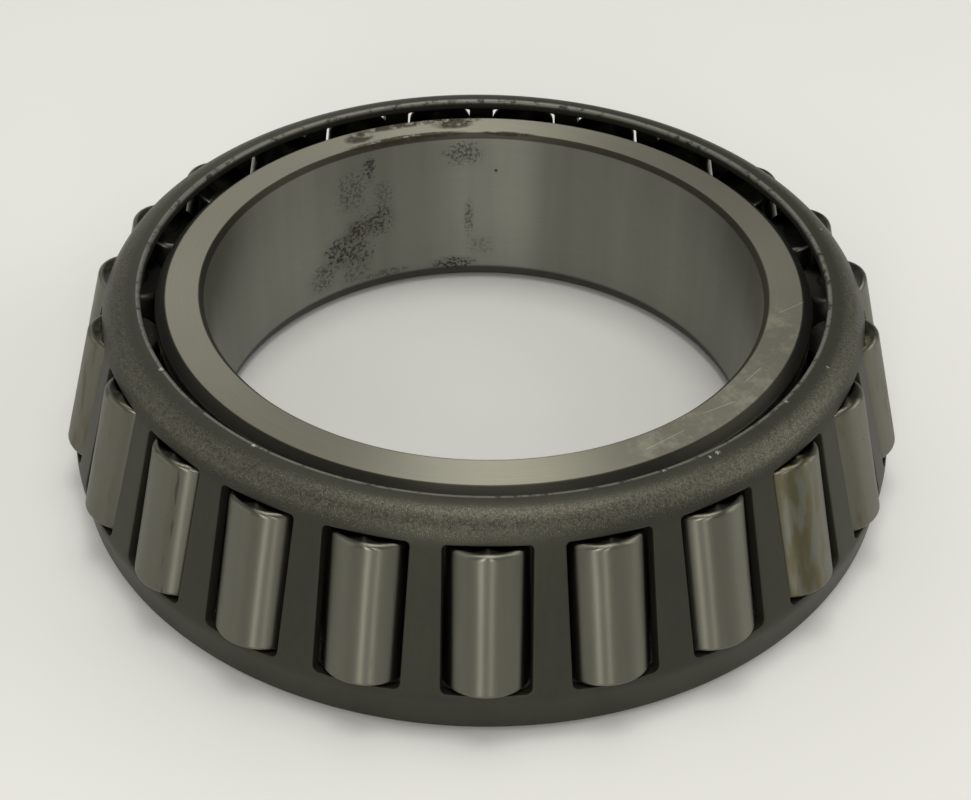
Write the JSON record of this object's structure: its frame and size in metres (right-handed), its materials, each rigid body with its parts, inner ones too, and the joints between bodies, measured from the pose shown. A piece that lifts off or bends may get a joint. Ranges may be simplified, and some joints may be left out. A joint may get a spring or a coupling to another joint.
{
  "type": "tapered roller bearing",
  "caption": "Cone assembly of a single-row tapered roller bearing: a ribbed inner ring, a row of tapered rollers on its raceway and a stamped window cage that spaces them.",
  "frame": {"origin": "centre of the inner ring's back face, the plane that it stands on", "axes": "+Z along the bearing's axis, from the large end to the small end; one roller lies towards -Y"},
  "size_m": [0.1458, 0.1455, 0.0354],
  "materials": {
    "ring_steel": "ground and faced bearing steel, satin, with light rust stains and pitting in the bore",
    "roller_steel": "fine ground bearing steel, half gloss, with a few stains",
    "cage_steel": "dark grey-green phosphated pressed sheet steel, matt, with a fine sparkling grain on the shoulder"
  },
  "bodies": {
    "inner_ring": {"inner_ring": "ring_steel"},
    "cage": {"cage": "cage_steel"},
    "roller_01": {"roller_01": "roller_steel"},
    "roller_02": {"roller_02": "roller_steel"},
    "roller_03": {"roller_03": "roller_steel"},
    "roller_04": {"roller_04": "roller_steel"},
    "roller_05": {"roller_05": "roller_steel"},
    "roller_06": {"roller_06": "roller_steel"},
    "roller_07": {"roller_07": "roller_steel"},
    "roller_08": {"roller_08": "roller_steel"},
    "roller_09": {"roller_09": "roller_steel"},
    "roller_10": {"roller_10": "roller_steel"},
    "roller_11": {"roller_11": "roller_steel"},
    "roller_12": {"roller_12": "roller_steel"},
    "roller_13": {"roller_13": "roller_steel"},
    "roller_14": {"roller_14": "roller_steel"},
    "roller_15": {"roller_15": "roller_steel"},
    "roller_16": {"roller_16": "roller_steel"},
    "roller_17": {"roller_17": "roller_steel"},
    "roller_18": {"roller_18": "roller_steel"},
    "roller_19": {"roller_19": "roller_steel"},
    "roller_20": {"roller_20": "roller_steel"},
    "roller_21": {"roller_21": "roller_steel"},
    "roller_22": {"roller_22": "roller_steel"},
    "roller_23": {"roller_23": "roller_steel"}
  },
  "joints": [
    {"name": "cage_spin", "type": "hinge", "parent": "inner_ring", "child": "cage", "pos_m": [0, 0, 0.018], "axis": [0, 0, 1], "continuous": true},
    {"name": "roller_01_spin", "type": "hinge", "parent": "cage", "child": "roller_01", "pos_m": [0, -0.06665, 0.00739], "axis": [0, 0.2528, 0.9675], "continuous": true},
    {"name": "roller_02_spin", "type": "hinge", "parent": "cage", "child": "roller_02", "pos_m": [0.01798, -0.06418, 0.00739], "axis": [-0.0682, 0.2434, 0.9675], "continuous": true},
    {"name": "roller_03_spin", "type": "hinge", "parent": "cage", "child": "roller_03", "pos_m": [0.03463, -0.05695, 0.00739], "axis": [-0.1313, 0.216, 0.9675], "continuous": true},
    {"name": "roller_04_spin", "type": "hinge", "parent": "cage", "child": "roller_04", "pos_m": [0.04871, -0.04549, 0.00739], "axis": [-0.1847, 0.1725, 0.9675], "continuous": true},
    {"name": "roller_05_spin", "type": "hinge", "parent": "cage", "child": "roller_05", "pos_m": [0.05918, -0.03066, 0.00739], "axis": [-0.2244, 0.1163, 0.9675], "continuous": true},
    {"name": "roller_06_spin", "type": "hinge", "parent": "cage", "child": "roller_06", "pos_m": [0.06526, -0.01356, 0.00739], "axis": [-0.2475, 0.0514, 0.9675], "continuous": true},
    {"name": "roller_07_spin", "type": "hinge", "parent": "cage", "child": "roller_07", "pos_m": [0.0665, 0.00455, 0.00739], "axis": [-0.2522, -0.0173, 0.9675], "continuous": true},
    {"name": "roller_08_spin", "type": "hinge", "parent": "cage", "child": "roller_08", "pos_m": [0.0628, 0.02232, 0.00739], "axis": [-0.2382, -0.0847, 0.9675], "continuous": true},
    {"name": "roller_09_spin", "type": "hinge", "parent": "cage", "child": "roller_09", "pos_m": [0.05445, 0.03844, 0.00739], "axis": [-0.2065, -0.1458, 0.9675], "continuous": true},
    {"name": "roller_10_spin", "type": "hinge", "parent": "cage", "child": "roller_10", "pos_m": [0.04206, 0.0517, 0.00739], "axis": [-0.1595, -0.1961, 0.9675], "continuous": true},
    {"name": "roller_11_spin", "type": "hinge", "parent": "cage", "child": "roller_11", "pos_m": [0.02655, 0.06113, 0.00739], "axis": [-0.1007, -0.2319, 0.9675], "continuous": true},
    {"name": "roller_12_spin", "type": "hinge", "parent": "cage", "child": "roller_12", "pos_m": [0.00908, 0.06603, 0.00739], "axis": [-0.0344, -0.2504, 0.9675], "continuous": true},
    {"name": "roller_13_spin", "type": "hinge", "parent": "cage", "child": "roller_13", "pos_m": [-0.00908, 0.06603, 0.00739], "axis": [0.0344, -0.2504, 0.9675], "continuous": true},
    {"name": "roller_14_spin", "type": "hinge", "parent": "cage", "child": "roller_14", "pos_m": [-0.02655, 0.06113, 0.00739], "axis": [0.1007, -0.2319, 0.9675], "continuous": true},
    {"name": "roller_15_spin", "type": "hinge", "parent": "cage", "child": "roller_15", "pos_m": [-0.04206, 0.0517, 0.00739], "axis": [0.1595, -0.1961, 0.9675], "continuous": true},
    {"name": "roller_16_spin", "type": "hinge", "parent": "cage", "child": "roller_16", "pos_m": [-0.05445, 0.03844, 0.00739], "axis": [0.2065, -0.1458, 0.9675], "continuous": true},
    {"name": "roller_17_spin", "type": "hinge", "parent": "cage", "child": "roller_17", "pos_m": [-0.0628, 0.02232, 0.00739], "axis": [0.2382, -0.0847, 0.9675], "continuous": true},
    {"name": "roller_18_spin", "type": "hinge", "parent": "cage", "child": "roller_18", "pos_m": [-0.0665, 0.00455, 0.00739], "axis": [0.2522, -0.0173, 0.9675], "continuous": true},
    {"name": "roller_19_spin", "type": "hinge", "parent": "cage", "child": "roller_19", "pos_m": [-0.06526, -0.01356, 0.00739], "axis": [0.2475, 0.0514, 0.9675], "continuous": true},
    {"name": "roller_20_spin", "type": "hinge", "parent": "cage", "child": "roller_20", "pos_m": [-0.05918, -0.03066, 0.00739], "axis": [0.2244, 0.1163, 0.9675], "continuous": true},
    {"name": "roller_21_spin", "type": "hinge", "parent": "cage", "child": "roller_21", "pos_m": [-0.04871, -0.04549, 0.00739], "axis": [0.1847, 0.1725, 0.9675], "continuous": true},
    {"name": "roller_22_spin", "type": "hinge", "parent": "cage", "child": "roller_22", "pos_m": [-0.03463, -0.05695, 0.00739], "axis": [0.1313, 0.216, 0.9675], "continuous": true},
    {"name": "roller_23_spin", "type": "hinge", "parent": "cage", "child": "roller_23", "pos_m": [-0.01798, -0.06418, 0.00739], "axis": [0.0682, 0.2434, 0.9675], "continuous": true}
  ],
  "couplings": [
    {"joint": "roller_01_spin", "follows": "cage_spin", "ratio": 8.42},
    {"joint": "roller_02_spin", "follows": "cage_spin", "ratio": 8.42},
    {"joint": "roller_03_spin", "follows": "cage_spin", "ratio": 8.42},
    {"joint": "roller_04_spin", "follows": "cage_spin", "ratio": 8.42},
    {"joint": "roller_05_spin", "follows": "cage_spin", "ratio": 8.42},
    {"joint": "roller_06_spin", "follows": "cage_spin", "ratio": 8.42},
    {"joint": "roller_07_spin", "follows": "cage_spin", "ratio": 8.42},
    {"joint": "roller_08_spin", "follows": "cage_spin", "ratio": 8.42},
    {"joint": "roller_09_spin", "follows": "cage_spin", "ratio": 8.42},
    {"joint": "roller_10_spin", "follows": "cage_spin", "ratio": 8.42},
    {"joint": "roller_11_spin", "follows": "cage_spin", "ratio": 8.42},
    {"joint": "roller_12_spin", "follows": "cage_spin", "ratio": 8.42},
    {"joint": "roller_13_spin", "follows": "cage_spin", "ratio": 8.42},
    {"joint": "roller_14_spin", "follows": "cage_spin", "ratio": 8.42},
    {"joint": "roller_15_spin", "follows": "cage_spin", "ratio": 8.42},
    {"joint": "roller_16_spin", "follows": "cage_spin", "ratio": 8.42},
    {"joint": "roller_17_spin", "follows": "cage_spin", "ratio": 8.42},
    {"joint": "roller_18_spin", "follows": "cage_spin", "ratio": 8.42},
    {"joint": "roller_19_spin", "follows": "cage_spin", "ratio": 8.42},
    {"joint": "roller_20_spin", "follows": "cage_spin", "ratio": 8.42},
    {"joint": "roller_21_spin", "follows": "cage_spin", "ratio": 8.42},
    {"joint": "roller_22_spin", "follows": "cage_spin", "ratio": 8.42},
    {"joint": "roller_23_spin", "follows": "cage_spin", "ratio": 8.42}
  ]
}
